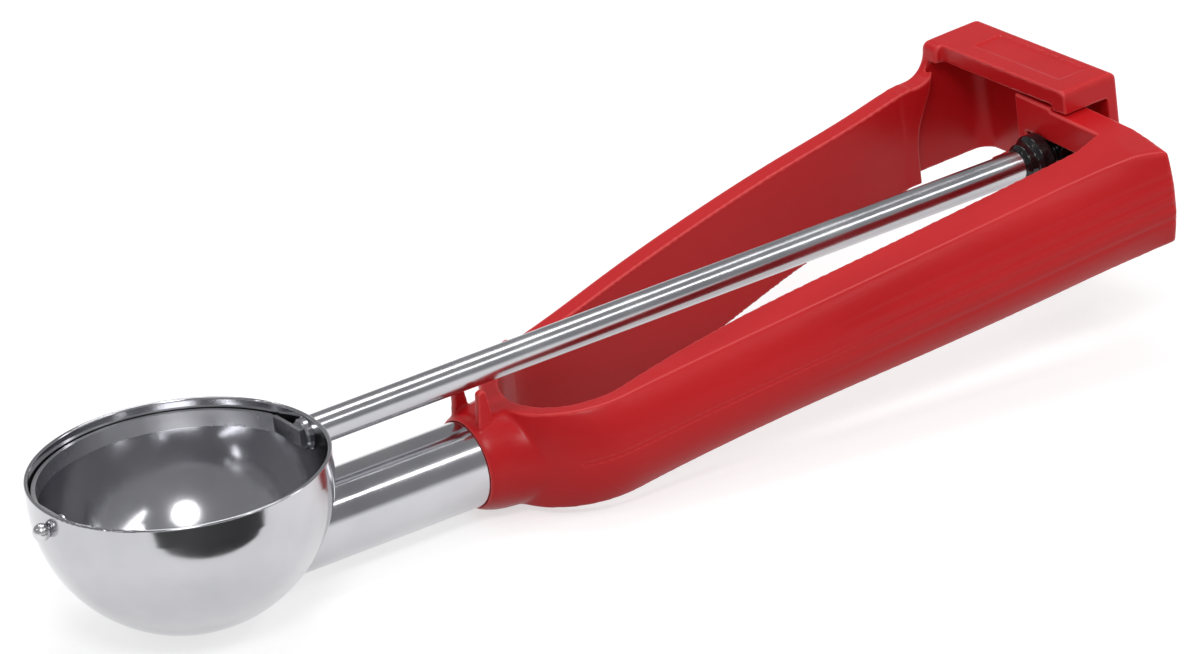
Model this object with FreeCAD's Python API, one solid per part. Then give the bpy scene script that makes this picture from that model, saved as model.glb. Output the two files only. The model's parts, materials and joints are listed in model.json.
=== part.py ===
import FreeCAD, Part
import math
import os

# Lever ice cream scoop, millimetres.
# Working axes: X runs along the drive rod from the bowl to the handle end, Z points out of the bowl's mouth,
# Y points to the squeeze arm. The working origin is the bowl's centre, on the drive rod's axis.
# The last lines move every piece so that the origin lies under the middle of the scoop.

V = FreeCAD.Vector
AXIS_X = V(1, 0, 0)
AXIS_Y = V(0, 1, 0)
AXIS_Z = V(0, 0, 1)

# Bowl: a hemisphere with a short straight band up to the rim
BOWL_OUTER_R = 28.0
BOWL_WALL = 0.8
RIM_HEIGHT = 3.6

# Drive rod
ROD_R = 3.0
ROD_INSET = 1.5            # how far the rod stands into the bowl
ROD_RUN_GAP = 0.08         # radial running clearance in the bowl's wall
SPIGOT_R = 2.0             # turned-down rear end that holds the pinion

# Scraper blade: a strip that follows the bowl from pole to pole
BLADE_GAP = 0.3
BLADE_THICK = 0.8
BLADE_WIDTH = 3.2
BLADE_TAB_OVERLAP = 1.4    # how far the end tabs reach past the axis

# Front pivot pin
PIN_R = 1.25
PIN_HEAD_R = 1.7
PIN_NECK = 1.2
PIN_RIVET_R = 1.9
PIN_RIVET_THICK = 0.7

# Shank tube between the bowl and the handle
TUBE_R = 8.25
TUBE_WALL = 1.0
TUBE_DROP = 17.6           # depth of its axis below the drive rod
SOCKET_GAP = 0.03          # fit of the tube in the handle's neck

# Handle neck: round sections as (x, half width, half height)
NECK_FRONT_X = 59.2
NECK_SECTIONS = [
    (NECK_FRONT_X, 8.62, 8.6),
    (61.2, 9.55, 9.5),
    (64.2, 10.4, 10.1),
    (68.0, 12.9, 9.8),
    (73.0, 16.6, 9.5),
    (79.0, 18.0, 9.3),
]
NECK_END_GAP = 1.6         # wall left between the tube's end and the loop

# Rod cradle: two prongs on the neck
PRONG_INNER_Y = 3.4
PRONG_OUTER_Y = 4.9
PRONG_BASE = 3.7
PRONG_TIP_R = 0.9
PRONG_SETBACK = 0.9        # behind the neck's front face
PRONG_LEAN = 0.8
PRONG_TOP_Z = -2.2
PRONG_ROOT_Z = -10.5

# Loop at the root of the two arms
LOOP_X = 84.3
LOOP_Y = -0.85
LOOP_R = 14.3
TRIM = 0.6                 # spare wall inside the loop, bored away to LOOP_R
ROOT_WALL = 4.3            # thickness where the spring arm bends
ARM_WALL = 5.0             # thickness of the rest of the spring arm
HINGE_ANGLE = -240.0       # where round the loop the spring arm bends
KNUCKLE_GAP = 0.15

# Both arms lie in a band that climbs towards the rear; its lower edge as (x, z)
BAND_X = 70.0
BAND_TOP = -8.0
BAND_RISE = 0.152
BAND_PLATEAU = 10.5        # top of the handle's rear end
BAND_BOTTOM = [(64, -27.6), (79, -25.9), (97, -22.9), (118, -19.7), (150, -15.8), (184, -11.0), (200, -7.6)]

# Grip arm seen from above, as (x, y): inner face, edge of the flat top, widest line of the outer side
GRIP_INNER = [(LOOP_X, LOOP_Y - LOOP_R), (94, -14.2), (106, -13.8), (118, -14.3), (145, -17.1), (200, -22.2)]
GRIP_EDGE = [(LOOP_X, -18.8), (96, -19.9), (120, -22.9), (162, -28.3), (184, -31.0), (191, -33.8), (200, -37.4)]
GRIP_SIDE = [(LOOP_X, -22.3), (96, -23.6), (120, -26.6), (162, -32.0), (184, -34.9), (191, -36.4), (200, -38.2)]
GRIP_STATIONS = 9
REAR_SLANT_DEG = 6.4       # the grip arm's rear face leans forward towards its outer side

# Bridge across the rear end
BRIDGE_FRONT_X = 192.0
BRIDGE_REAR_X = 198.3
BRIDGE_FREE_Y = 7.2
BRIDGE_WALL = 1.3
BRIDGE_ROOF = 3.7
BRIDGE_SKIRT_Z = -6.0
LEG_BOTTOM_Z = -1.9
POCKET_TOP_Z = 4.1
POCKET_FREE_Y = 4.4
CATCH_HEIGHT = 0.6
CATCH_LENGTH = 11.0
GUSSET_LENGTH = 8.0
GUSSET_WIDTH = 2.4
SPIGOT_RUN_GAP = 0.06

# Rack and pinion
MODULE = 1.0
PINION_TEETH = 10
PRESSURE_DEG = 20.0
PROFILE_SHIFT = 0.4
DEDENDUM = 1.25
BACKLASH = 0.14
PINION_FACE = 2.6
PINION_SIDE_GAP = 0.25
COLLAR_FRONT_R = 4.0
COLLAR_FRONT_LENGTH = 2.3
COLLAR_REAR_R = 5.0
COLLAR_REAR_LENGTH = 3.0
COLLAR_WALL_GAP = 0.3
RACK_TEETH = 8
RACK_FIRST = -1            # number of the first tooth; tooth 0 stands under the pinion at rest
SCRAPER_SWEEP_DEG = 168.0

# Squeeze arm's end box, as it stands at half stroke, when it is square to the bridge
BOX_FRONT_X = 191.1
BOX_REAR_X = 203.9
BOX_NEAR_Y = -15.5
BOX_FAR_Y = 26.0
BOX_WALL = 2.4
BOX_BOTTOM_Z = -9.7
BOX_CORNER_R = 3.0
BOX_SOFT_R = 1.2
CAP_GAP = 1.3
CAP_THICK = 3.6
CAP_UNDER_Z = BAND_PLATEAU + CAP_GAP
LIP_GAP = 0.25
LIP_LENGTH = 3.9
PLATE_DEPTH = 0.35         # shallow bare field on the cap
PLATE_LENGTH = 25.6
PLATE_WIDTH = 6.8
PLATE_NEAR_MARGIN = 5.9
PLATE_REAR_MARGIN = 2.2
SHOULDER_LENGTH = 3.0      # thick part of the arm in front of the jog
SHOULDER_INSET = 1.5       # how far its upright end stands in front of the cap
SHOULDER_CORNER_R = 1.6
JOG_LINE = [(183.4, -5.0), (184.8, 2.0), (187.5, 7.5), (188.8, CAP_UNDER_Z)]   # rear end of the thick wall, as (x, z)

# Spring arm's centre line between the loop and the end box, as (x, y)
SPRING_LINE = [(89.5, 17.0), (107.5, 20.9), (129, 24.8), (149.5, 27.3), (168, 28.6)]
SPRING_BOTTOM = [(64, -27.6), (95, -26.8), (118, -24.6), (138, -20.4), (153, -16.8), (176, -11.5), (200, -7.8)]
SPRING_ROUND = 1.3         # radius of its outer edges
SPRING_STATIONS = 11

rad = math.radians


def smooth(points):
    """A function through (position, value) points that runs smoothly and never overshoots them."""
    xs = [p[0] for p in points]
    ys = [p[1] for p in points]
    slopes = [(ys[i + 1] - ys[i]) / (xs[i + 1] - xs[i]) for i in range(len(xs) - 1)]
    tangents = [slopes[0]]
    for before, after in zip(slopes, slopes[1:]):
        tangents.append(2 * before * after / (before + after) if before * after > 0 else 0.0)
    tangents.append(slopes[-1])

    def value(x):
        i = max(j for j in range(len(slopes)) if j == 0 or x >= xs[j])
        width = xs[i + 1] - xs[i]
        t = (x - xs[i]) / width
        return ((1 + 2 * t) * (1 - t) ** 2 * ys[i] + t ** 2 * (3 - 2 * t) * ys[i + 1]
                + width * t * (1 - t) * ((1 - t) * tangents[i] - t * tangents[i + 1]))
    return value


band_bottom = smooth(BAND_BOTTOM)
spring_bottom = smooth(SPRING_BOTTOM)
grip_inner = smooth(GRIP_INNER)
grip_edge = smooth(GRIP_EDGE)
grip_side = smooth(GRIP_SIDE)


def band_top(x):
    """Height of the arms' top edge at x."""
    return BAND_TOP + BAND_RISE * (x - BAND_X)


def turned(shape, degrees, centre, axis=AXIS_Z):
    """A copy of the shape, turned about an axis through centre."""
    copy = shape.copy()
    copy.rotate(centre, axis, degrees)
    return copy


def cylinder_x(radius, x0, x1, y=0.0, z=0.0):
    return Part.makeCylinder(radius, x1 - x0, V(x0, y, z), AXIS_X)


def box(x0, x1, y0, y1, z0, z1):
    return Part.makeBox(x1 - x0, y1 - y0, z1 - z0, V(x0, y0, z0))


def revolved_x(points):
    """A solid of revolution about the X axis from (x, radius) corners."""
    wire = Part.makePolygon([V(x, 0, r) for x, r in points] + [V(points[0][0], 0, points[0][1])])
    return Part.Face(wire).revolve(V(0, 0, 0), AXIS_X, 360)


def whole(shape):
    """The shape as one clean solid."""
    clean = shape.removeSplitter()
    return clean.Solids[0] if len(clean.Solids) == 1 else clean


# The hinge that stands for the bending loop, and the squeeze stroke
hinge_r = LOOP_R + ROOT_WALL / 2
HINGE = V(LOOP_X + hinge_r * math.cos(rad(HINGE_ANGLE)), LOOP_Y + hinge_r * math.sin(rad(HINGE_ANGLE)), 0)
PITCH_R = MODULE * PINION_TEETH / 2
pinion_front = BRIDGE_FRONT_X + BRIDGE_WALL + PINION_SIDE_GAP
pinion_rear = pinion_front + PINION_FACE
RACK_ARM = (pinion_front + pinion_rear) / 2 - HINGE.x
SQUEEZE_DEG = SCRAPER_SWEEP_DEG * PITCH_R / RACK_ARM
HALF_STROKE = SQUEEZE_DEG / 2


def make_bowl():
    inner_r = BOWL_OUTER_R - BOWL_WALL
    lip = BOWL_WALL / 2
    down = V(0, 0, -1)
    outer_arc = Part.Arc(V(BOWL_OUTER_R, 0, 0), V(BOWL_OUTER_R, 0, 0) * math.cos(rad(45))
                         + down * BOWL_OUTER_R * math.sin(rad(45)), down * BOWL_OUTER_R)
    inner_arc = Part.Arc(V(inner_r, 0, 0), V(inner_r, 0, 0) * math.cos(rad(45))
                         + down * inner_r * math.sin(rad(45)), down * inner_r)
    shoulder = RIM_HEIGHT - lip
    rim_arc = Part.Arc(V(BOWL_OUTER_R, 0, shoulder), V(BOWL_OUTER_R - lip, 0, RIM_HEIGHT), V(inner_r, 0, shoulder))
    edges = [
        outer_arc.toShape(),
        Part.makeLine(V(BOWL_OUTER_R, 0, 0), V(BOWL_OUTER_R, 0, shoulder)),
        rim_arc.toShape(),
        Part.makeLine(V(inner_r, 0, shoulder), V(inner_r, 0, 0)),
        inner_arc.toShape(),
        Part.makeLine(down * inner_r, down * BOWL_OUTER_R),
    ]
    wire = Part.Wire(Part.__sortEdges__(edges))
    bowl = Part.Face(wire).revolve(V(0, 0, 0), AXIS_Z, 360)
    rod_hole = cylinder_x(ROD_R + ROD_RUN_GAP, 0, BOWL_OUTER_R + 1)
    pin_hole = cylinder_x(PIN_R + ROD_RUN_GAP, -BOWL_OUTER_R - 1, 0)
    return whole(bowl.cut(rod_hole).cut(pin_hole))


def make_shank_tube():
    end_x = LOOP_X - LOOP_R - NECK_END_GAP
    tube = cylinder_x(TUBE_R, 0, end_x, z=-TUBE_DROP).cut(cylinder_x(TUBE_R - TUBE_WALL, -1, end_x + 1, z=-TUBE_DROP))
    return whole(tube.cut(Part.makeSphere(BOWL_OUTER_R)))


rod_front = BOWL_OUTER_R - BOWL_WALL - ROD_INSET


def make_drive_rod():
    shoulder_x = BRIDGE_FRONT_X - COLLAR_WALL_GAP - COLLAR_REAR_LENGTH
    end_x = BRIDGE_REAR_X - 0.3
    chamfer = 0.4
    return whole(revolved_x([
        (rod_front, 0), (rod_front, ROD_R - chamfer), (rod_front + chamfer, ROD_R),
        (shoulder_x, ROD_R), (shoulder_x, SPIGOT_R), (end_x - chamfer, SPIGOT_R),
        (end_x, SPIGOT_R - chamfer), (end_x, 0)]))


def make_scraper_blade():
    outer_r = BOWL_OUTER_R - BOWL_WALL - BLADE_GAP
    mean_r = outer_r - BLADE_THICK / 2
    half = BLADE_WIDTH / 2
    shell = Part.makeSphere(outer_r).cut(Part.makeSphere(outer_r - BLADE_THICK))
    tab_x = rod_front - BLADE_THICK
    bend_y = math.sqrt(mean_r ** 2 - (tab_x + BLADE_THICK / 2) ** 2)
    strip = shell.common(box(-tab_x - BLADE_THICK / 2, tab_x + BLADE_THICK / 2, 0, outer_r, -half, half))
    rear_tab = box(tab_x, rod_front, -BLADE_TAB_OVERLAP, bend_y, -half, half)
    front_tab = box(-rod_front, -tab_x, -BLADE_TAB_OVERLAP - PIN_R, bend_y, -half, half)
    blade = strip.fuse(rear_tab).fuse(front_tab)
    return whole(blade.cut(cylinder_x(PIN_R + 0.01, -rod_front - 1, 0)))


def make_pivot_pin():
    inner_x = -rod_front + BLADE_THICK
    head_x = -BOWL_OUTER_R - PIN_NECK
    shank = cylinder_x(PIN_R, head_x, inner_x)
    head = Part.makeSphere(PIN_HEAD_R, V(head_x, 0, 0))
    rivet = revolved_x([(inner_x, 0), (inner_x, PIN_RIVET_R), (inner_x + PIN_RIVET_THICK / 2, PIN_RIVET_R),
                        (inner_x + PIN_RIVET_THICK, PIN_RIVET_R * 0.6), (inner_x + PIN_RIVET_THICK, 0)])
    return whole(shank.fuse(head).fuse(rivet))


def gear_outline():
    """One closed involute outline in the YZ plane, with a tooth space straight down."""
    base_r = PITCH_R * math.cos(rad(PRESSURE_DEG))
    tip_r = PITCH_R + MODULE * (1 + PROFILE_SHIFT) - 0.2 * MODULE
    root_r = PITCH_R + MODULE * (PROFILE_SHIFT - 1.25)
    involute = lambda a: math.tan(a) - a
    half_pitch = (math.pi / 2 + 2 * PROFILE_SHIFT * math.tan(rad(PRESSURE_DEG))) * MODULE / (2 * PITCH_R)
    half_base = half_pitch + involute(rad(PRESSURE_DEG)) - BACKLASH / (4 * PITCH_R)
    at = lambda r, a: V(0, r * math.sin(a), r * math.cos(a))
    step = 2 * math.pi / PINION_TEETH
    samples = 6
    edges = []
    for tooth in range(PINION_TEETH):
        mid = tooth * step + (0 if PINION_TEETH % 2 else step / 2) + math.pi * (PINION_TEETH % 2)
        flank = []
        for i in range(samples + 1):
            r = base_r + (tip_r - base_r) * i / samples
            flank.append((r, half_base - involute(math.acos(base_r / r))))
        left = [at(r, mid - a) for r, a in flank]
        right = [at(r, mid + a) for r, a in reversed(flank)]
        foot_l = at(root_r, mid - half_base)
        foot_r = at(root_r, mid + half_base)
        next_foot = at(root_r, mid + step - half_base)
        left_curve = Part.BSplineCurve()
        left_curve.interpolate(left)
        right_curve = Part.BSplineCurve()
        right_curve.interpolate(right)
        edges += [
            Part.makeLine(foot_l, left[0]),
            left_curve.toShape(),
            Part.Arc(left[-1], at(tip_r, mid), right[0]).toShape(),
            right_curve.toShape(),
            Part.makeLine(right[-1], foot_r),
            Part.Arc(foot_r, at(root_r, mid + step / 2), next_foot).toShape(),
        ]
    return Part.Wire(edges)


def make_pinion():
    teeth = Part.Face(gear_outline()).extrude(V(PINION_FACE, 0, 0))
    teeth.translate(V(pinion_front, 0, 0))
    rear_face = BRIDGE_FRONT_X - COLLAR_WALL_GAP
    step_x = rear_face - COLLAR_REAR_LENGTH
    front_face = step_x - COLLAR_FRONT_LENGTH
    soft = 0.7
    collar = revolved_x([
        (front_face, 0), (front_face, COLLAR_FRONT_R - soft), (front_face + soft, COLLAR_FRONT_R),
        (step_x, COLLAR_FRONT_R), (step_x, COLLAR_REAR_R - soft), (step_x + soft, COLLAR_REAR_R),
        (rear_face, COLLAR_REAR_R), (rear_face, ROD_R), (pinion_front, ROD_R), (pinion_front, 0)])
    solid = collar.fuse(teeth)
    rod_bore = cylinder_x(ROD_R + 0.01, front_face - 1, step_x)
    spigot_bore = cylinder_x(SPIGOT_R + 0.01, step_x - 1, pinion_rear + 1)
    return whole(solid.cut(rod_bore).cut(spigot_bore))


def arm_section(inner, outward, edge, side):
    """A cross-section of the grip arm: flat inside, top and bottom, with a bulged outer side."""
    at = lambda out, z: V(inner[0] + outward[0] * out, inner[1] + outward[1] * out, z)
    top = band_top(inner[0])
    bottom = band_bottom(inner[0])
    a = at(0, bottom)
    b = at(0, top)
    c = at(edge, top)
    d = at(side, (top + bottom) / 2)
    e = at(edge, bottom)
    edges = [Part.makeLine(a, b), Part.makeLine(b, c), Part.Arc(c, d, e).toShape(), Part.makeLine(e, a)]
    return Part.Wire(edges)


def make_grip_arm():
    wires = []
    for i in range(GRIP_STATIONS):
        x = LOOP_X + (GRIP_INNER[-1][0] - LOOP_X) * i / (GRIP_STATIONS - 1)
        inner = grip_inner(x)
        wires.append(arm_section((x, inner), (0, -1), inner - grip_edge(x), inner - grip_side(x)))
    return Part.makeLoft(wires, True, False)


def make_loop():
    """The U-turn from the grip arm round to the hinge; its wall thins on the way."""
    stations = 7
    grip_edge_wall = LOOP_Y - LOOP_R - grip_edge(LOOP_X)
    grip_side_wall = LOOP_Y - LOOP_R - grip_side(LOOP_X)
    wires = []
    for i in range(stations):
        part = i / (stations - 1)
        angle = rad(-90 + (HINGE_ANGLE + 90) * part)
        outward = (math.cos(angle), math.sin(angle))
        inner = (LOOP_X + (LOOP_R - TRIM) * outward[0], LOOP_Y + (LOOP_R - TRIM) * outward[1])
        edge = grip_edge_wall + (ROOT_WALL * 0.8 - grip_edge_wall) * part
        side = grip_side_wall + (ROOT_WALL - grip_side_wall) * math.sin(part * math.pi / 2)
        wires.append(arm_section(inner, outward, edge + TRIM, side + TRIM))
    return Part.makeLoft(wires, True, False)


def make_neck():
    wires = []
    for x, half_y, half_z in NECK_SECTIONS:
        centre = V(x, 0, -TUBE_DROP)
        ellipse = Part.Ellipse(centre + AXIS_Y * half_y, centre + AXIS_Z * half_z, centre)
        wires.append(Part.Wire(ellipse.toShape()))
    return Part.makeLoft(wires, True, False)


def make_prong(side):
    """One prong of the cradle that keeps the rod in line."""
    low = V(NECK_FRONT_X + PRONG_SETBACK, 0, PRONG_ROOT_Z)
    front = V(low.x + PRONG_LEAN, 0, PRONG_TOP_Z - PRONG_TIP_R)
    back = front + AXIS_X * 2 * PRONG_TIP_R
    edges = [
        Part.makeLine(low, front),
        Part.Arc(front, front + V(PRONG_TIP_R, 0, PRONG_TIP_R), back).toShape(),
        Part.makeLine(back, low + AXIS_X * PRONG_BASE),
        Part.makeLine(low + AXIS_X * PRONG_BASE, low),
    ]
    prong = Part.Face(Part.Wire(edges)).extrude(AXIS_Y * (PRONG_OUTER_Y - PRONG_INNER_Y))
    prong.translate(AXIS_Y * (PRONG_INNER_Y if side > 0 else -PRONG_OUTER_Y))
    return prong


def under_band(x0, x1):
    """Everything below the arms' top edge between two places."""
    corners = [V(x0, -60, -40), V(x1, -60, -40), V(x1, -60, band_top(x1)), V(x0, -60, band_top(x0))]
    return Part.Face(Part.makePolygon(corners + corners[:1])).extrude(AXIS_Y * 120)


def make_bridge():
    """The housing over the pinion, open below, with a pocket in its front wall."""
    root_y = grip_inner(BRIDGE_FRONT_X) - 1.0
    top = BAND_PLATEAU
    inside_front = BRIDGE_FRONT_X + BRIDGE_WALL
    inside_rear = BRIDGE_REAR_X - BRIDGE_WALL
    block = box(BRIDGE_FRONT_X, BRIDGE_REAR_X, root_y, BRIDGE_FREE_Y, BRIDGE_SKIRT_Z, top)
    block = block.cut(box(BRIDGE_FRONT_X - 1, inside_front, root_y - 1, BRIDGE_FREE_Y + 1, BRIDGE_SKIRT_Z - 1,
                          LEG_BOTTOM_Z))
    block = block.cut(box(BRIDGE_FRONT_X - 1, inside_front + 1, root_y - 1, POCKET_FREE_Y, BRIDGE_SKIRT_Z - 1,
                          POCKET_TOP_Z))
    block = block.cut(box(inside_front, inside_rear, root_y - 1, BRIDGE_FREE_Y + 1, BRIDGE_SKIRT_Z - 1,
                          top - BRIDGE_ROOF))
    catch = box(BRIDGE_FRONT_X, inside_rear, BRIDGE_FREE_Y - CATCH_LENGTH, BRIDGE_FREE_Y, top - BRIDGE_WALL,
                top + CATCH_HEIGHT)
    corner_y = grip_inner(BRIDGE_FRONT_X)
    corner = [V(BRIDGE_FRONT_X - GUSSET_LENGTH, corner_y, POCKET_TOP_Z), V(inside_front, corner_y - 1, POCKET_TOP_Z),
              V(inside_front, corner_y + GUSSET_WIDTH, POCKET_TOP_Z)]
    gusset = Part.Face(Part.makePolygon(corner + corner[:1])).extrude(AXIS_Z * (top - POCKET_TOP_Z))
    gusset = gusset.common(under_band(corner[0].x, inside_front))
    bore = cylinder_x(SPIGOT_R + SPIGOT_RUN_GAP, inside_rear - 1, BRIDGE_REAR_X + 1)
    return block.fuse(catch).fuse(gusset).cut(bore)


def upright(radius, x, y):
    """A tall cylinder along Z, for cutting."""
    return Part.makeCylinder(radius, 80, V(x, y, -50))


def make_handle():
    cavity = upright(LOOP_R, LOOP_X, LOOP_Y)
    tube_end = LOOP_X - LOOP_R - NECK_END_GAP
    socket = cylinder_x(TUBE_R + SOCKET_GAP, NECK_FRONT_X - 1, tube_end + 0.1, z=-TUBE_DROP)
    rear = box(BRIDGE_REAR_X, BRIDGE_REAR_X + 20, -60, 20, -40, 40)
    above = box(LOOP_X, BRIDGE_REAR_X + 20, -60, 20, BAND_PLATEAU, 40)
    grip = make_grip_arm().cut(turned(rear, -REAR_SLANT_DEG, V(BRIDGE_REAR_X, grip_inner(BRIDGE_REAR_X), 0)))
    grip = grip.cut(above)
    knuckle_x = HINGE.x - ROOT_WALL
    neck = make_neck().common(box(NECK_FRONT_X, knuckle_x, -40, 40, -40, band_top(LOOP_X - LOOP_R)))
    body = grip.fuse(make_loop().fuse(neck).cut(cavity))
    for side in (1, -1):
        body = body.fuse(make_prong(side))
    body = body.cut(socket).cut(upright(ROOT_WALL / 2 + KNUCKLE_GAP, HINGE.x, HINGE.y))
    return whole(body.fuse(make_bridge()))


def make_end_box():
    """Cap, side wall, rear wall and shoulder, drawn square to the bridge as they stand at half stroke."""
    under = CAP_UNDER_Z
    top = under + CAP_THICK
    jog_x = JOG_LINE[0][0]
    front = jog_x - SHOULDER_LENGTH
    floor = spring_bottom(front)
    sweep_x = BOX_FRONT_X - SHOULDER_INSET
    arm_top = band_top(front) + BAND_RISE
    sweep_r = top - SHOULDER_CORNER_R - arm_top
    bow = 1 - math.sqrt(0.5)
    sweep_low = V(sweep_x - sweep_r, 0, arm_top)
    sweep_high = V(sweep_x, 0, arm_top + sweep_r)
    sweep_mid = sweep_high + V(-bow, 0, bow - 1) * sweep_r
    corner_high = V(sweep_x + SHOULDER_CORNER_R, 0, top)
    corner_mid = sweep_high + V(bow, 0, 1 - bow) * SHOULDER_CORNER_R
    corners = [
        V(front, 0, band_top(front)), V(front, 0, floor), V(jog_x, 0, floor),
        V(jog_x, 0, BOX_BOTTOM_Z), V(BOX_REAR_X, 0, BOX_BOTTOM_Z), V(BOX_REAR_X, 0, top), corner_high]
    edges = [Part.makeLine(p, q) for p, q in zip(corners, corners[1:])]
    edges.append(Part.Arc(corner_high, corner_mid, sweep_high).toShape())
    edges.append(Part.Arc(sweep_high, sweep_mid, sweep_low).toShape())
    edges.append(Part.makeLine(sweep_low, corners[0]))
    block = Part.Face(Part.Wire(edges)).extrude(AXIS_Y * (BOX_FAR_Y - BOX_NEAR_Y))
    block.translate(AXIS_Y * BOX_NEAR_Y)
    soft = []
    for edge in block.Edges:
        ends = edge.BoundBox
        along_far_top = ends.YMin > BOX_FAR_Y - 0.01 and ends.ZMin > 0 and ends.XMin > front + 0.1
        along_far_top = along_far_top or (ends.YMin > BOX_FAR_Y - 0.01 and ends.XMin > BOX_REAR_X - 0.01)
        rear_top = ends.XMin > BOX_REAR_X - 0.01 and ends.ZMin > top - 0.01
        near_top = ends.YMax < BOX_NEAR_Y + 0.01 and ends.ZMin > top - 0.01
        if along_far_top or rear_top or near_top:
            soft.append(edge)
    block = block.makeFillet(BOX_SOFT_R, soft)
    block = block.cut(box(front - 1, BOX_FRONT_X, BOX_NEAR_Y - 1, BOX_FAR_Y - ARM_WALL, -40, 40))
    rear_in = BOX_REAR_X - BOX_WALL
    start_y = BOX_NEAR_Y - 1
    jog = [V(x, start_y, z) for x, z in JOG_LINE]
    jog_curve = Part.BSplineCurve()
    jog_curve.interpolate(Points=jog, InitialTangent=AXIS_Z, FinalTangent=V(0.2, 0, 1))
    around = [jog[-1], V(rear_in, start_y, under), V(rear_in, start_y, floor - 1), V(jog_x, start_y, floor - 1), jog[0]]
    outline = [jog_curve.toShape()] + [Part.makeLine(p, q) for p, q in zip(around, around[1:])]
    hollow = Part.Face(Part.Wire(outline)).extrude(AXIS_Y * (BOX_FAR_Y - BOX_WALL - start_y))
    corner = [e for e in hollow.Edges if e.BoundBox.XMin > rear_in - 0.01
              and e.BoundBox.YMin > BOX_FAR_Y - BOX_WALL - 0.01]
    block = block.cut(hollow.makeFillet(BOX_CORNER_R, corner))
    lip = box(BOX_FRONT_X, BOX_REAR_X - BOX_WALL, BOX_NEAR_Y, BOX_NEAR_Y + LIP_LENGTH, BAND_PLATEAU + LIP_GAP,
              under + 0.5)
    plate_x = BOX_REAR_X - PLATE_REAR_MARGIN
    plate_y = BOX_NEAR_Y + PLATE_NEAR_MARGIN
    plate = box(plate_x - PLATE_WIDTH, plate_x, plate_y, plate_y + PLATE_LENGTH, top - PLATE_DEPTH, top + 1)
    return block.fuse(lip).cut(plate)


def strip_section(centre, outward, wall):
    """A cross-section of the spring arm: a tall plate with rounded outer edges."""
    def at(out, z):
        return V(centre.x, centre.y, 0) + outward * out + AXIS_Z * z

    top = band_top(centre.x)
    bottom = spring_bottom(centre.x)
    half = wall / 2
    r = SPRING_ROUND
    bow = r * (1 - math.sqrt(0.5))
    edges = [
        Part.makeLine(at(-half, bottom), at(-half, top)),
        Part.makeLine(at(-half, top), at(half - r, top)),
        Part.Arc(at(half - r, top), at(half - bow, top - bow), at(half, top - r)).toShape(),
        Part.makeLine(at(half, top - r), at(half, bottom + r)),
        Part.Arc(at(half, bottom + r), at(half - bow, bottom + bow), at(half - r, bottom)).toShape(),
        Part.makeLine(at(half - r, bottom), at(-half, bottom)),
    ]
    return Part.Wire(edges)


def make_spring_strip():
    """The flexible arm from the hinge to the end box's shoulder."""
    leave = rad(HINGE_ANGLE + 270)
    arrive = rad(HALF_STROKE)
    end = turned(Part.Vertex(JOG_LINE[0][0] - 0.5, BOX_FAR_Y - ARM_WALL / 2, 0), HALF_STROKE, HINGE).Point
    line = Part.BSplineCurve()
    line.interpolate(Points=[HINGE] + [V(x, y, 0) for x, y in SPRING_LINE] + [end],
                     InitialTangent=V(math.cos(leave), math.sin(leave), 0),
                     FinalTangent=V(math.cos(arrive), math.sin(arrive), 0))
    wires = []
    for i in range(SPRING_STATIONS):
        at = line.FirstParameter + (line.LastParameter - line.FirstParameter) * i / (SPRING_STATIONS - 1)
        centre = line.value(at)
        along = line.tangent(at)[0]
        outward = V(-along.y, along.x, 0)
        wall = ROOT_WALL + (ARM_WALL - ROOT_WALL) * min(3.0 * i / SPRING_STATIONS, 1.0)
        wires.append(strip_section(centre, outward, wall))
    return Part.makeLoft(wires, True, False)


def make_rack():
    """Teeth that follow the pinion round the hinge, on a ledge from the rear wall."""
    pitch_deg = math.degrees(math.pi * MODULE / RACK_ARM)
    line_z = -(PITCH_R + PROFILE_SHIFT * MODULE)
    tip_z = line_z + MODULE
    root_z = line_z - DEDENDUM * MODULE
    slope = math.tan(rad(PRESSURE_DEG))
    half = (math.pi * MODULE / 2 - BACKLASH / 2) / 2
    buried = 0.2
    top_half = half - slope * MODULE
    foot_half = half + slope * (DEDENDUM * MODULE + buried)
    outline = [V(pinion_front, -foot_half, root_z - buried), V(pinion_front, foot_half, root_z - buried),
               V(pinion_front, top_half, tip_z), V(pinion_front, -top_half, tip_z)]
    tooth = Part.Face(Part.makePolygon(outline + outline[:1])).extrude(AXIS_X * PINION_FACE)
    inner_r = math.hypot(pinion_front - HINGE.x, HINGE.y)
    start = math.degrees(math.atan2(-HINGE.y, RACK_ARM)) + (RACK_FIRST - 0.5) * pitch_deg
    centre = V(HINGE.x, HINGE.y, BOX_BOTTOM_Z)
    ledge = Part.makeCylinder(2 * RACK_ARM, root_z - BOX_BOTTOM_Z, centre, AXIS_Z, RACK_TEETH * pitch_deg)
    ledge = turned(ledge, start, HINGE).cut(upright(inner_r, HINGE.x, HINGE.y))
    floor = box(BRIDGE_FRONT_X - 10, BOX_REAR_X - BOX_WALL / 2, BOX_NEAR_Y, BOX_FAR_Y - BOX_WALL / 2, -40, 40)
    rack = ledge.common(turned(floor, HALF_STROKE, HINGE))
    for i in range(RACK_TEETH):
        rack = rack.fuse(turned(tooth, (RACK_FIRST + i) * pitch_deg, HINGE))
    return rack


def make_squeeze_arm():
    strip = make_spring_strip()
    height = band_top(HINGE.x) - spring_bottom(HINGE.x)
    knuckle = Part.makeCylinder(ROOT_WALL / 2, height, V(HINGE.x, HINGE.y, spring_bottom(HINGE.x)))
    shell = turned(make_end_box(), HALF_STROKE, HINGE)
    return whole(strip.fuse(knuckle).fuse(shell).fuse(make_rack()))


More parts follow.
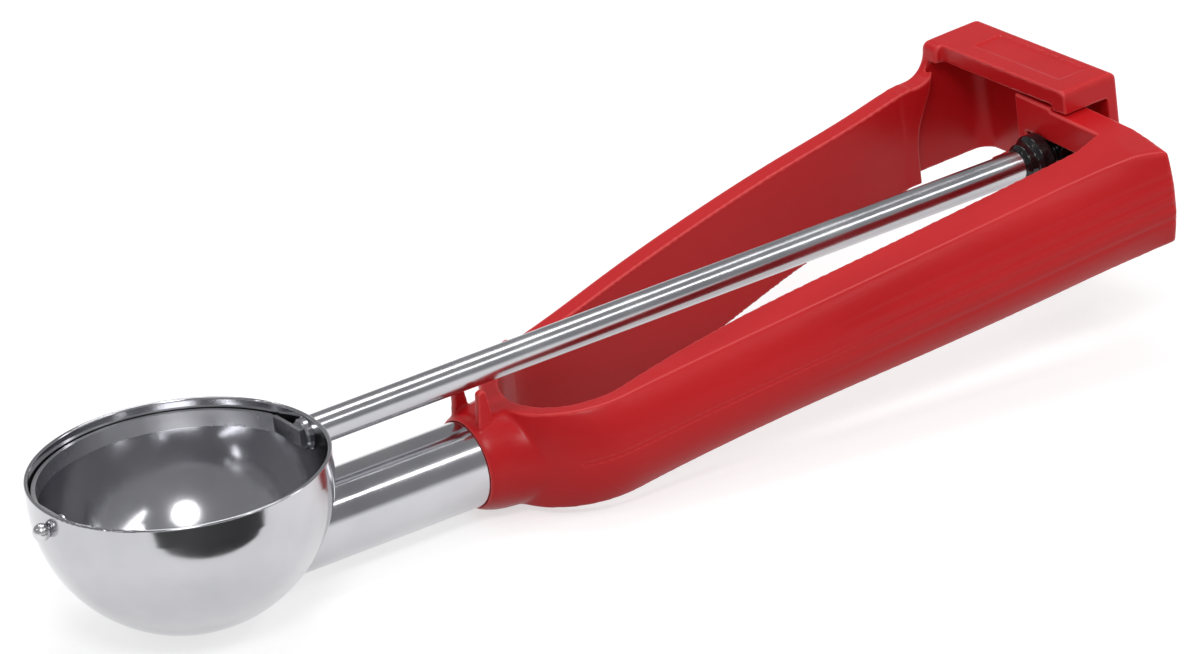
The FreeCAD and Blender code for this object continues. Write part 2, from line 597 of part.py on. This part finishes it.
if __name__ == "__main__":
    os.makedirs("parts", exist_ok=True)
    pieces = {
        "bowl": make_bowl(),
        "shank_tube": make_shank_tube(),
        "drive_rod": make_drive_rod(),
        "scraper_blade": make_scraper_blade(),
        "pivot_pin": make_pivot_pin(),
        "pinion": make_pinion(),
        "handle": make_handle(),
        "squeeze_arm": make_squeeze_arm(),
    }
    span = Part.Compound(list(pieces.values())).optimalBoundingBox(False)
    to_base = V(-span.Center.x, -span.Center.y, -span.ZMin)
    print("shift to the base frame", [round(c, 4) for c in to_base], "overall",
          [round(c, 2) for c in (span.XLength, span.YLength, span.ZLength)])
    for name, shape in pieces.items():
        shape.translate(to_base)
        print(name, shape.isValid(), len(shape.Solids), round(shape.Volume, 1))
        shape.exportStep("parts/" + name + ".step")
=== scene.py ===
import bpy
import json
import math
import numpy as np
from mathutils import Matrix, Quaternion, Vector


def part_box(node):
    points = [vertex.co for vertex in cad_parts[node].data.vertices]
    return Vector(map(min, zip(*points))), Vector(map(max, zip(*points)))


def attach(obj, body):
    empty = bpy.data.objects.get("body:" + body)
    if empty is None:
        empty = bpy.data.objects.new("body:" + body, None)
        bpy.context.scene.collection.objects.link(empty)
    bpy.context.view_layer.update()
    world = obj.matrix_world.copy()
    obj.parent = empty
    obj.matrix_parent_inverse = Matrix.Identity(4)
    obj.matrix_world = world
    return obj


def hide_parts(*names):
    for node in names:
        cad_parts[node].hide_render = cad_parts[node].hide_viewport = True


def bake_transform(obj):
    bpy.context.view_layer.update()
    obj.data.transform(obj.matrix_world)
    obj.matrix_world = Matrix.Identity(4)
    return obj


# Lever ice cream scoop: steel bowl and rod, red spring handle moulded in one piece. Lengths are in metres.

MM = 0.001

# The photograph's camera
AZIMUTH_DEG = -30.83
ELEVATION_DEG = 24.18
ROLL_DEG = -6.84
DISTANCE = 1.901
AIM = Vector((0.00426, 0.00119, 0.02714))
LENS = 309.8
SENSOR = 36.0
SHIFT = (-0.0027, 0.0006)

# Moulding: the plastic's edges come out softly rounded
WELD = 0.001 * MM
VOXEL = 0.28 * MM
FINE_VOXEL = 0.12 * MM
SMOOTH_FACTOR = 0.5
SOFTENING = 5
WEIGHT_STEPS = 10

# The grip is worn rounder than the rest, most of all at its end's outer corner
GRIP_SOFTENING = 14
PRONGS_END = -0.021
BRIDGE_START = 0.094
GRIP_OUTSIDE = -0.022
CORNER_SOFTENING = 70
CORNER_REACH = 6.0 * MM
CORNER_EDGE = 2 * MM
CORNER_PEAK = 1.4      # weight at the corner itself; above 1 it stays full for a while

# The cap's shoulder, and the rack's last tooth, which never meets the pinion
SHOULDER = (0.1017, 0.0315, 0.0410)
SHOULDER_SOFTENING = 24
SHOULDER_PEAK = 1.2
LAST_TOOTH = ((0.1055, 0.0192), (0.1105, 0.0224))
RACK_ROOT = 0.02135
RACK_TOP = 0.0245
TOOTH_SINK = 0.1 * MM

# Grooves along the grip's outer side, and the mould's parting line before them
GROOVES = (0.30, 0.46, 0.60, 0.74)     # shares of the side's height
GROOVE_DEPTH = 0.16 * MM
GROOVE_WIDTH = 0.60 * MM
GROOVE_START = 0.030
GROOVE_FADE = 0.020
PARTING_SHARE = 0.52
PARTING_START = -0.014
PARTING_DEPTH = 0.10 * MM
PARTING_WIDTH = 0.28 * MM
SIDE_NORMAL = -0.55
SIDE_Y = -12 * MM
SIDE_SAMPLES = 14
SAMPLE_START = 4 * MM
SAMPLE_END = 8 * MM
BOTTOM_CURVE = 3
TOP_CURVE = 1

# The bending part of the moulding, over the hinge
LOOP_RADIUS = 14.3 * MM
SPRING_ARM_DEG = 30
FLEX_BEFORE = 5.0 * MM
FLEX_AFTER = 7.0 * MM
FLEX_WALL = 4.3 * MM
FLEX_PROUD = 0.05 * MM
FLEX_SINK = 0.15 * MM
FLEX_RISE = 0.152      # the spring arm's top rises by this much along x
FLEX_STATIONS = 25
FLEX_CORNER = 0.8 * MM
FLEX_TURN = 5
FLEX_ROWS = (0.01, 0.05, 0.2, 0.4, 0.6, 0.8, 0.95, 0.99)

# Paler outward-turning edges: partly wear, partly a painted edge highlight
SHEEN_AND_WEAR_PASSES = 2
SHEEN_AND_WEAR_DEPTH = 0.012 * MM
SHEEN_AND_WEAR_START = 0.25

# Finishes: colours are linear, noise scales are per metre, roughness runs from low to high
PLAIN_DETAIL = 4.0
EVEN = (1.0, 1.0, 1.0)
BOWL_ROUGHNESS = (0.10, 0.20)
BOWL_MARKS = (1.0, 1.0, 0.2)       # how the polishing marks are stretched
TUBE_ROUGHNESS = (0.10, 0.18)
TUBE_MARKS = (0.08, 1.0, 1.0)
ROD_ROUGHNESS = (0.18, 0.27)
ROD_MARKS = (0.04, 1.0, 1.0)
PIN_ROUGHNESS = (0.26, 0.38)
STEEL_DARK = (0.50, 0.50, 0.525)
STEEL_PALE = (0.58, 0.58, 0.60)
PIN_DARK = (0.66, 0.66, 0.68)
PIN_PALE = (0.76, 0.76, 0.77)
PATCH_SCALE = 60.0
PATCH_RANGE = (0.35, 0.7)
MARK_SCALE = 900.0
MARK_DETAIL = 6.0
MARK_HEIGHT = 0.004 * MM
RIPPLE_SCALE = 45.0
RIPPLE_DETAIL = 2.0
RIPPLE_HEIGHT = 0.12 * MM
RED_DARK = (0.49, 0.007, 0.010)
RED_PALE = (0.57, 0.010, 0.013)
# paler red for the outward-turning edges: partly wear, partly a painted edge highlight
RED_SHEEN_AND_WORN = (0.66, 0.05, 0.05)
RED_ROUGHNESS = (0.29, 0.41)
RED_SPECULAR = 0.27
FLOW_SCALE = 70.0
FLOW_DETAIL = 5.0
FLOW_STRETCH = (0.25, 1.0, 1.0)
FLOW_RANGE = (0.3, 0.7)
FLOW_HEIGHT = 0.10 * MM
GRAIN_SCALE = 1500.0
GRAIN_DETAIL = 3.0
GRAIN_HEIGHT = 0.012 * MM
BLACK_CLEAN = (0.008, 0.008, 0.009)
BLACK_DUSTY = (0.03, 0.03, 0.032)
BLACK_ROUGHNESS = (0.09, 0.20)
DUST_SCALE = 400.0
DUST_DETAIL = 5.0
DUST_RANGE = (0.5, 0.8)
RUB_RANGE = (0.45, 0.8)
DUST_HEIGHT = 0.004 * MM

# Floor and surround
FLOOR_REACH = 4.0
FLOOR_GREY = 0.5
FLOOR_GLOW = 0.62
LOW_DOWN = (0.02, 0.16)
ROOM_GREY = (0.30, 0.30, 0.31)
ROOM_FILL = (0.55, 0.55, 0.56)
WHITE = (1.0, 1.0, 1.0, 1.0)

# A dark oval card on the floor in front of the bowl; distances are from the bowl's middle
FLAG_AZIMUTH_DEG = -13.0
FLAG_NEAR = 0.057
FLAG_FAR = 0.230
FLAG_HALF_WIDTH = 0.095
FLAG_HEIGHT = 0.002
FLAG_CORNERS = 64
FLAG_COLOUR = (0.02, 0.02, 0.02, 1.0)

# Lamps: name, place, target, size, power
MIDDLE = (0, 0, 0)
LAMPS = (
    ("key", (-0.45, -0.65, 0.95), MIDDLE, (0.34, 0.34), 3.4),
    ("top", (0.25, 0.35, 1.05), MIDDLE, (0.8, 0.35), 3.2),
    ("side", (0.95, -0.55, 0.40), (0, 0, 0.02), (0.2, 0.4), 0.9),
    ("strip", (0.50, -0.58, 0.80), MIDDLE, (1.1, 0.09), 1.3),
)
SPOT_PLACES = ((0.30, -0.70, 0.90), (-0.80, 0.30, 0.80), (-0.15, -0.20, 1.20), (0.0, 0.75, 0.85))
SPOT_SIZE = (0.07, 0.07)
SPOT_POWER = 0.3


def new_object(name, mesh, material=None):
    piece = bpy.data.objects.new(name, mesh)
    bpy.context.scene.collection.objects.link(piece)
    if material is not None:
        mesh.materials.append(material)
    return piece


def nodes_of(material):
    material.use_nodes = True
    tree = material.node_tree
    return tree, tree.nodes["Principled BSDF"]


def noise(tree, scale, detail=PLAIN_DETAIL, stretch=EVEN):
    """A noise value over the object's own coordinates."""
    where = tree.nodes.new("ShaderNodeTexCoord")
    mapping = tree.nodes.new("ShaderNodeMapping")
    mapping.inputs["Scale"].default_value = stretch
    tree.links.new(where.outputs["Object"], mapping.inputs["Vector"])
    texture = tree.nodes.new("ShaderNodeTexNoise")
    texture.inputs["Scale"].default_value = scale
    texture.inputs["Detail"].default_value = detail
    tree.links.new(mapping.outputs["Vector"], texture.inputs["Vector"])
    return texture.outputs["Fac"]


def spread(tree, value, low, high, start=0.0, stop=1.0):
    """The value, moved from the range start..stop to the range low..high."""
    node = tree.nodes.new("ShaderNodeMapRange")
    node.inputs["From Min"].default_value = start
    node.inputs["From Max"].default_value = stop
    node.inputs["To Min"].default_value = low
    node.inputs["To Max"].default_value = high
    tree.links.new(value, node.inputs["Value"])
    return node.outputs["Result"]


def tint(tree, factor, low, high):
    """A colour between low and high."""
    node = tree.nodes.new("ShaderNodeMix")
    node.data_type = "RGBA"
    node.inputs["A"].default_value = (*low, 1.0)
    node.inputs["B"].default_value = (*high, 1.0)
    tree.links.new(factor, node.inputs["Factor"])
    return node.outputs["Result"]


def overlay(tree, factor, under, colour):
    """The colour laid over another node's colour."""
    node = tree.nodes.new("ShaderNodeMix")
    node.data_type = "RGBA"
    node.inputs["B"].default_value = colour
    tree.links.new(factor, node.inputs["Factor"])
    tree.links.new(under, node.inputs["A"])
    return node.outputs["Result"]


def bump(tree, height, distance, under=None):
    node = tree.nodes.new("ShaderNodeBump")
    node.inputs["Distance"].default_value = distance
    node.inputs["Strength"].default_value = 1.0
    tree.links.new(height, node.inputs["Height"])
    if under is not None:
        tree.links.new(under, node.inputs["Normal"])
    return node.outputs["Normal"]


def steel(name, roughness, stretch, dark=STEEL_DARK, pale=STEEL_PALE):
    """Polished stainless steel with fine polishing marks and a few dull patches."""
    material = bpy.data.materials.new(name)
    tree, shader = nodes_of(material)
    shader.inputs["Metallic"].default_value = 1.0
    patches = noise(tree, PATCH_SCALE)
    marks = noise(tree, MARK_SCALE, MARK_DETAIL, stretch)
    dullness = spread(tree, patches, 0.0, 1.0, *PATCH_RANGE)
    tree.links.new(tint(tree, dullness, dark, pale), shader.inputs["Base Color"])
    tree.links.new(spread(tree, patches, *roughness, *PATCH_RANGE), shader.inputs["Roughness"])
    ripple = bump(tree, noise(tree, RIPPLE_SCALE, RIPPLE_DETAIL), RIPPLE_HEIGHT)
    tree.links.new(bump(tree, marks, MARK_HEIGHT, ripple), shader.inputs["Normal"])
    return material


def red_plastic():
    """Semi-gloss moulded plastic: fine grain, slight flow marks, and paler edges that are partly wear and
    partly a painted highlight.
    """
    material = bpy.data.materials.new("red_plastic")
    tree, shader = nodes_of(material)
    flow = noise(tree, FLOW_SCALE, FLOW_DETAIL, FLOW_STRETCH)
    grain = noise(tree, GRAIN_SCALE, GRAIN_DETAIL)
    edges = tree.nodes.new("ShaderNodeAttribute")
    edges.attribute_name = "edge_sheen_and_wear"
    # paler red laid on the outward-turning edges: partly wear, partly a painted edge highlight
    sheen_and_worn = spread(tree, edges.outputs["Fac"], 0.0, 1.0, SHEEN_AND_WEAR_START, 1.0)
    body = tint(tree, spread(tree, flow, 0.0, 1.0, *FLOW_RANGE), RED_DARK, RED_PALE)
    tree.links.new(overlay(tree, sheen_and_worn, body, (*RED_SHEEN_AND_WORN, 1.0)), shader.inputs["Base Color"])
    tree.links.new(spread(tree, flow, *RED_ROUGHNESS, *FLOW_RANGE), shader.inputs["Roughness"])
    shader.inputs["Specular IOR Level"].default_value = RED_SPECULAR
    waves = bump(tree, flow, FLOW_HEIGHT)
    tree.links.new(bump(tree, grain, GRAIN_HEIGHT, waves), shader.inputs["Normal"])
    return material


def black_plastic():
    """Glossy black plastic with light dust and fine rubbed marks."""
    material = bpy.data.materials.new("black_plastic")
    tree, shader = nodes_of(material)
    dust = noise(tree, DUST_SCALE, DUST_DETAIL)
    cover = spread(tree, dust, 0.0, 1.0, *DUST_RANGE)
    tree.links.new(tint(tree, cover, BLACK_CLEAN, BLACK_DUSTY), shader.inputs["Base Color"])
    tree.links.new(spread(tree, dust, *BLACK_ROUGHNESS, *RUB_RANGE), shader.inputs["Roughness"])
    tree.links.new(bump(tree, dust, DUST_HEIGHT), shader.inputs["Normal"])
    return material


def coordinates(mesh, attribute):
    values = np.zeros(len(mesh.vertices) * 3)
    mesh.vertices.foreach_get(attribute, values)
    return values.reshape(-1, 3)


def put(mesh, at):
    mesh.vertices.foreach_set("co", at.ravel())
    mesh.update()


def shade_smooth(mesh):
    mesh.polygons.foreach_set("use_smooth", np.ones(len(mesh.polygons), bool))


def bake_modifiers(piece):
    """Gives the piece the mesh that its modifiers make."""
    shape = piece.evaluated_get(bpy.context.evaluated_depsgraph_get())
    mesh = bpy.data.meshes.new_from_object(shape)
    piece.modifiers.clear()
    piece.vertex_groups.clear()
    piece.data = mesh
    return mesh


def soften(piece, passes, weights=None):
    """Smooths the piece's surface; weights from 0 to 1 say where."""
    smooth = piece.modifiers.new("smooth", "SMOOTH")
    smooth.factor = SMOOTH_FACTOR
    smooth.iterations = passes
    if weights is not None:
        group = piece.vertex_groups.new(name="soften")
        levels = np.rint(np.clip(weights, 0, 1) * WEIGHT_STEPS).astype(int)
        for level in range(1, WEIGHT_STEPS + 1):
            group.add(np.nonzero(levels == level)[0].tolist(), level / WEIGHT_STEPS, "REPLACE")
        smooth.vertex_group = group.name
    return bake_modifiers(piece)


def mark_sheen_and_wear(piece):
    """Stores how sharply the surface turns outward, for the paler edges, which are partly wear and partly a
    painted highlight.
    """
    mesh = piece.data
    before = coordinates(mesh, "co")
    normal = coordinates(mesh, "normal")
    trial = piece.copy()
    bpy.context.scene.collection.objects.link(trial)
    after = coordinates(soften(trial, SHEEN_AND_WEAR_PASSES), "co")
    bpy.data.objects.remove(trial)
    turn = ((before - after) * normal).sum(axis=1) / SHEEN_AND_WEAR_DEPTH
    attribute = mesh.attributes.new("edge_sheen_and_wear", "FLOAT", "POINT")
    attribute.data.foreach_set("value", np.clip(turn, 0, 1).astype(np.float32))


def moulded(node, material, voxel, trim=None):
    """The node's solid as a moulding, with every edge softly rounded."""
    piece = new_object(node + "_moulding", frame["nodes"][node].data.copy())
    if trim is not None:
        trim(piece.data)
    weld = piece.modifiers.new("weld", "WELD")
    weld.merge_threshold = WELD
    remesh = piece.modifiers.new("remesh", "REMESH")
    remesh.mode = "VOXEL"
    remesh.voxel_size = voxel
    bake_modifiers(piece)
    mesh = soften(piece, SOFTENING)
    mesh.materials.clear()
    mesh.materials.append(material)
    return piece


def settle(piece, node, body):
    """Shades the finished piece smooth and hangs it on its body in the node's place."""
    shade_smooth(piece.data)
    mark_sheen_and_wear(piece)
    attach(piece, body)
    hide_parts(node)


def make_handle(material):
    piece = moulded("handle", material, VOXEL)
    at = coordinates(piece.data, "co")
    ahead = np.clip((BRIDGE_START + CORNER_REACH - at[:, 0]) / CORNER_REACH, 0, 1)
    outside = np.clip((GRIP_OUTSIDE - at[:, 1]) / CORNER_REACH, 0, 1)
    soften(piece, GRIP_SOFTENING, np.maximum(ahead, outside) * (at[:, 0] > PRONGS_END))
    at = coordinates(piece.data, "co")
    edge = at[:, 1] < at[:, 1].min() + CORNER_EDGE
    corner = at[edge][:, 0].max()
    away = np.hypot(at[:, 0] - corner, at[:, 1] - at[:, 1].min())
    soften(piece, CORNER_SOFTENING, CORNER_PEAK - away / CORNER_REACH)
    cut_grooves(piece)
    settle(piece, "handle", "frame")


def cut_grooves(piece):
    """Shallow grooves along the outer side of the grip, and the mould's parting line."""
    mesh = piece.data
    at = coordinates(mesh, "co")
    normal = coordinates(mesh, "normal")
    side = (normal[:, 1] < SIDE_NORMAL) & (at[:, 0] > PARTING_START) & (at[:, 1] < SIDE_Y)
    places = np.linspace(PARTING_START + SAMPLE_START, at[side, 0].max() - SAMPLE_END, SIDE_SAMPLES)
    low = []
    high = []
    for x in places:
        near = side & (abs(at[:, 0] - x) < MM)
        low.append(at[near, 2].min())
        high.append(at[near, 2].max())
    bottom = np.polyval(np.polyfit(places, low, BOTTOM_CURVE), at[:, 0])
    top = np.polyval(np.polyfit(places, high, TOP_CURVE), at[:, 0])
    fade = np.clip((at[:, 0] - GROOVE_START) / GROOVE_FADE, 0, 1)
    sunk = np.zeros(len(at))
    for share in GROOVES:
        line = bottom + (top - bottom) * share
        sunk += GROOVE_DEPTH * fade * np.exp(-((at[:, 2] - line) / GROOVE_WIDTH) ** 2)
    parting = bottom + (top - bottom) * PARTING_SHARE
    sunk += PARTING_DEPTH * (1 - fade) * np.exp(-((at[:, 2] - parting) / PARTING_WIDTH) ** 2)
    put(mesh, at - normal * (sunk * side)[:, None])


def drop_last_tooth(mesh):
    """Sinks the rack's idle last tooth into its ledge."""
    at = coordinates(mesh, "co")
    low, high = LAST_TOOTH
    inside = (at[:, 0] > low[0]) & (at[:, 0] < high[0]) & (at[:, 1] > low[1]) & (at[:, 1] < high[1])
    at[inside & (at[:, 2] > RACK_ROOT) & (at[:, 2] < RACK_TOP), 2] = RACK_ROOT - TOOTH_SINK
    put(mesh, at)


def make_squeeze_arm(material):
    piece = moulded("squeeze_arm", material, VOXEL, drop_last_tooth)
    away = np.linalg.norm(coordinates(piece.data, "co") - np.array(SHOULDER), axis=1)
    soften(piece, SHOULDER_SOFTENING, SHOULDER_PEAK - away / CORNER_REACH)
    settle(piece, "squeeze_arm", "squeeze")


def along_the_strip(s, pivot, along):
    """The place and direction at the distance s past the hinge: straight, or round the loop before it."""
    if s >= 0:
        return pivot + along * s, along
    centre = pivot + Vector((along.y, -along.x, 0)) * (LOOP_RADIUS + FLEX_WALL / 2)
    turn = Quaternion((0, 0, 1), -s / (pivot - centre).length)
    return centre + turn @ (pivot - centre), turn @ along


def rounded_ring(place, outward, half, low, high):
    """A rounded rectangle across the strip, with rows of points down its flat sides."""
    inset = half - FLEX_CORNER
    corners = ((1, high - FLEX_CORNER, 0), (-1, high - FLEX_CORNER, 90),
               (-1, low + FLEX_CORNER, 180), (1, low + FLEX_CORNER, 270))
    drop = low - high + 2 * FLEX_CORNER
    drops = {90: drop, 270: -drop}
    ring = []
    for side, height, start in corners:
        for step in range(FLEX_TURN + 1):
            angle = math.radians(start + 90 * step / FLEX_TURN)
            across = outward * (side * inset + FLEX_CORNER * math.cos(angle))
            ring.append(place + across + Vector((0, 0, height + FLEX_CORNER * math.sin(angle))))
        if start in drops:
            first = ring[-1]
            last = first + Vector((0, 0, drops[start]))
            ring += [first.lerp(last, row) for row in FLEX_ROWS]
    return ring


def make_flexure(material):
    """A sleeve round the loop's end and the spring arm's root, where the moulding bends; the sleeve is
    built as one fixed mesh, on no body.
    """
    hinge = next(j for j in frame["joints"] if j["name"] == "squeeze_hinge")
    pivot = Vector((hinge["pos_m"][0], hinge["pos_m"][1], 0.0))
    angle = math.radians(SPRING_ARM_DEG)
    along = Vector((math.cos(angle), math.sin(angle), 0))
    arm = frame["nodes"]["squeeze_arm"].data
    near = [v.co for v in arm.vertices if (Vector((v.co.x, v.co.y, 0)) - pivot).length < FLEX_WALL]
    bottom = min(c.z for c in near)
    top = max(c.z for c in near)
    points = []
    for i in range(FLEX_STATIONS):
        s = -FLEX_BEFORE + (FLEX_BEFORE + FLEX_AFTER) * i / (FLEX_STATIONS - 1)
        place, ahead = along_the_strip(s, pivot, along)
        outward = Vector((-ahead.y, ahead.x, 0))
        share = i / (FLEX_STATIONS - 1)
        proud = -FLEX_SINK + (FLEX_PROUD + FLEX_SINK) * math.sin(math.pi * share) ** 0.5
        lift = (place.x - pivot.x) * FLEX_RISE
        points += rounded_ring(place, outward, FLEX_WALL / 2 + proud, bottom - proud, top + proud + lift)
    count = len(points) // FLEX_STATIONS
    faces = [list(range(count))[::-1], [len(points) - count + k for k in range(count)]]
    for i in range(FLEX_STATIONS - 1):
        for k in range(count):
            a = i * count + k
            b = i * count + (k + 1) % count
            faces.append([a, b, b + count, a + count])
    mesh = bpy.data.meshes.new("flexure")
    mesh.from_pydata(points, [], faces)
    shade_smooth(mesh)
    piece = new_object("flexure", mesh, material)
    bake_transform(piece)


def dress(node, material):
    """Gives a CAD node its finish."""
    target = frame["nodes"][node]
    target.data.materials.clear()
    target.data.materials.append(material)


def combine(tree, operation, one, other):
    node = tree.nodes.new("ShaderNodeMath")
    node.operation = operation
    tree.links.new(one, node.inputs[0])
    tree.links.new(other, node.inputs[1])
    return node.outputs["Value"]


def rays_that_see_the_backdrop(tree, share=None):
    """1 for camera rays, and 1 or the given share for glossy and transmission rays."""
    path = tree.nodes.new("ShaderNodeLightPath")
    others = combine(tree, "MAXIMUM", path.outputs["Is Glossy Ray"], path.outputs["Is Transmission Ray"])
    if share is not None:
        others = combine(tree, "MULTIPLY", others, share)
    return combine(tree, "MAXIMUM", path.outputs["Is Camera Ray"], others)


def make_floor():
    """A pale floor that looks white to the camera and in the steel, and keeps the scoop's shadow."""
    corners = [(x * FLOOR_REACH, y * FLOOR_REACH, 0) for x, y in ((-1, -1), (1, -1), (1, 1), (-1, 1))]
    mesh = bpy.data.meshes.new("floor")
    mesh.from_pydata(corners, [], [(0, 1, 2, 3)])
    material = bpy.data.materials.new("floor")
    tree, shader = nodes_of(material)
    shader.inputs["Base Color"].default_value = (FLOOR_GREY, FLOOR_GREY, FLOOR_GREY, 1.0)
    shader.inputs["Roughness"].default_value = 1.0
    shader.inputs["Specular IOR Level"].default_value = 0.0
    shader.inputs["Emission Color"].default_value = WHITE
    seen = rays_that_see_the_backdrop(tree)
    tree.links.new(spread(tree, seen, 0.0, FLOOR_GLOW), shader.inputs["Emission Strength"])
    floor = new_object("floor", mesh, material)


def make_world():
    """White for the camera, and low down for glossy and transmission rays too; a grey room for the rest."""
    world = bpy.data.worlds.new("studio")
    bpy.context.scene.world = world
    world.use_nodes = True
    tree = world.node_tree
    where = tree.nodes.new("ShaderNodeTexCoord")
    parts = tree.nodes.new("ShaderNodeSeparateXYZ")
    tree.links.new(where.outputs["Generated"], parts.inputs["Vector"])
    low_down = spread(tree, parts.outputs["Z"], 1.0, 0.0, *LOW_DOWN)
    path = tree.nodes.new("ShaderNodeLightPath")
    room = tint(tree, path.outputs["Is Diffuse Ray"], ROOM_GREY, ROOM_FILL)
    shown = overlay(tree, rays_that_see_the_backdrop(tree, low_down), room, WHITE)
    tree.links.new(shown, tree.nodes["Background"].inputs["Color"])


def add_flag():
    """A dark card in front of the bowl, seen only in the steel's reflections."""
    azimuth = math.radians(FLAG_AZIMUTH_DEG)
    toward = Vector((math.sin(azimuth), -math.cos(azimuth), 0))
    across = Vector((-toward.y, toward.x, 0))
    low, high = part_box("bowl")
    centre = (low + high) / 2
    centre.z = FLAG_HEIGHT
    middle = centre + toward * (FLAG_NEAR + FLAG_FAR) / 2
    half_length = (FLAG_FAR - FLAG_NEAR) / 2
    turns = [2 * math.pi * i / FLAG_CORNERS for i in range(FLAG_CORNERS)]
    corners = [middle + toward * (half_length * math.cos(a)) + across * (FLAG_HALF_WIDTH * math.sin(a))
               for a in turns]
    mesh = bpy.data.meshes.new("flag")
    mesh.from_pydata(corners, [], [list(range(FLAG_CORNERS))])
    material = bpy.data.materials.new("flag")
    tree, shader = nodes_of(material)
    shader.inputs["Base Color"].default_value = FLAG_COLOUR
    flag = new_object("flag", mesh, material)
    flag.visible_camera = False
    flag.visible_diffuse = False
    flag.visible_shadow = False
    flag.visible_transmission = False


def add_lamp(name, location, target, size, power):
    data = bpy.data.lights.new(name, "AREA")
    data.shape = "ELLIPSE"
    data.size, data.size_y = size
    data.energy = power
    lamp = bpy.data.objects.new(name, data)
    bpy.context.scene.collection.objects.link(lamp)
    lamp.location = location
    lamp.rotation_mode = "QUATERNION"
    lamp.rotation_quaternion = (Vector(target) - Vector(location)).to_track_quat("-Z", "Y")


def make_camera():
    azimuth, elevation, roll = (math.radians(a) for a in (AZIMUTH_DEG, ELEVATION_DEG, ROLL_DEG))
    level_back = Vector((math.sin(azimuth), -math.cos(azimuth), 0)) * math.cos(elevation)
    back = level_back + Vector((0, 0, math.sin(elevation)))
    data = bpy.data.cameras.new("camera")
    data.lens = LENS
    data.sensor_width = SENSOR
    data.shift_x, data.shift_y = SHIFT
    camera = bpy.data.objects.new("camera", data)
    bpy.context.scene.collection.objects.link(camera)
    camera.location = AIM + back * DISTANCE
    camera.rotation_mode = "QUATERNION"
    level = Quaternion((0, 0, 1), azimuth) @ Quaternion((1, 0, 0), math.pi / 2 - elevation)
    camera.rotation_quaternion = level @ Quaternion((0, 0, 1), roll)
    bpy.context.scene.camera = camera


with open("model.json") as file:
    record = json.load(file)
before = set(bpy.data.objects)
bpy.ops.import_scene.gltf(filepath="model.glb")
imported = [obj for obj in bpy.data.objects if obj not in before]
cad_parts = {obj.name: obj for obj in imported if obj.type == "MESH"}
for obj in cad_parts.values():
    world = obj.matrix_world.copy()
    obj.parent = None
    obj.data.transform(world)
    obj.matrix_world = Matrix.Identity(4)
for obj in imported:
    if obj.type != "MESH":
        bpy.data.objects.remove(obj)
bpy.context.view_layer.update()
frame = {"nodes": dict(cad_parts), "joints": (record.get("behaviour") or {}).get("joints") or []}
make_camera()
bpy.context.scene.view_settings.view_transform = "Standard"

red = red_plastic()
dress("bowl", steel("bowl_steel", BOWL_ROUGHNESS, BOWL_MARKS))
dress("shank_tube", steel("tube_steel", TUBE_ROUGHNESS, TUBE_MARKS))
dress("drive_rod", steel("rod_steel", ROD_ROUGHNESS, ROD_MARKS))
pin_steel = steel("pin_steel", PIN_ROUGHNESS, EVEN, PIN_DARK, PIN_PALE)
for node in ("scraper_blade", "pivot_pin"):
    dress(node, pin_steel)
settle(moulded("pinion", black_plastic(), FINE_VOXEL), "pinion", "scraper")
make_handle(red)
make_squeeze_arm(red)
make_flexure(red)

make_floor()
make_world()
add_flag()
for lamp in LAMPS:
    add_lamp(*lamp)
for number, place in enumerate(SPOT_PLACES):
    add_lamp("spot_" + str(number), place, MIDDLE, SPOT_SIZE, SPOT_POWER)
